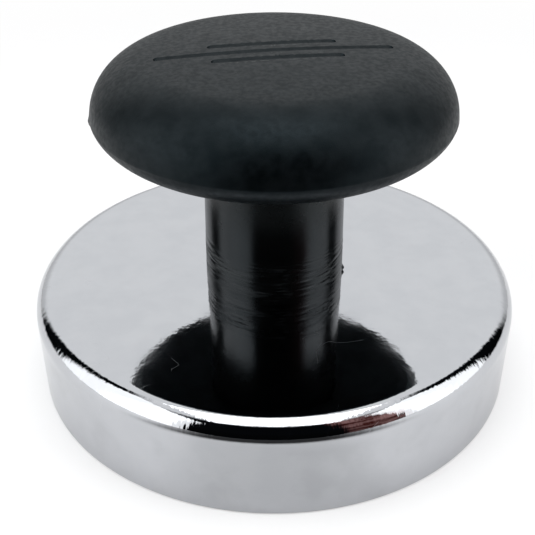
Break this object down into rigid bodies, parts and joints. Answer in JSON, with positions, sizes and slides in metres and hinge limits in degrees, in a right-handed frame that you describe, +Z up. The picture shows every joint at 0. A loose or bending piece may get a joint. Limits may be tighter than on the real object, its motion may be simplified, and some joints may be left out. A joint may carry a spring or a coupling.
{
  "type": "welding magnet holder",
  "caption": "Round pot magnet: a ferrite ring in a bright plated steel cup, lifted by a screwed-on mushroom handle with a soft cap.",
  "frame": {"origin": "centre of the underside, in the plane of the cup's rim that meets the work", "axes": "+Z up the handle, away from the work; +X and +Y are alike, because the holder is round"},
  "size_m": [0.0666, 0.0666, 0.0454],
  "materials": {
    "chrome": "polished",
    "ferrite": "matte",
    "resin": "gloss",
    "zinc_steel": "satin",
    "spring_steel": "satin",
    "fibre": "matte",
    "gloss_black": "gloss",
    "brass": "satin",
    "soft_black": "matte"
  },
  "bodies": {
    "magnet_base": {"magnet_cup": "chrome", "ring_magnet": "ferrite", "epoxy_bond": "resin", "handle_screw": "zinc_steel", "split_lock_washer": "spring_steel", "flat_washer": "zinc_steel"},
    "washer": {"foot_washer": "fibre"},
    "handle": {"handle_core": "gloss_black", "threaded_insert": "brass", "grip_cap": "soft_black"}
  },
  "joints": [
    {"name": "handle_lift", "type": "slide", "parent": "magnet_base", "child": "washer", "axis": [0, 0, 1], "range_m": [0, 0.0108]},
    {"name": "handle_turn", "type": "hinge", "parent": "washer", "child": "handle", "pos_m": [0, 0, 0.0136], "axis": [0, 0, 1], "range_deg": [0, 3060]}
  ],
  "couplings": [
    {"joint": "handle_lift", "follows": "handle_turn", "m_per_rad": 0.00020213}
  ]
}
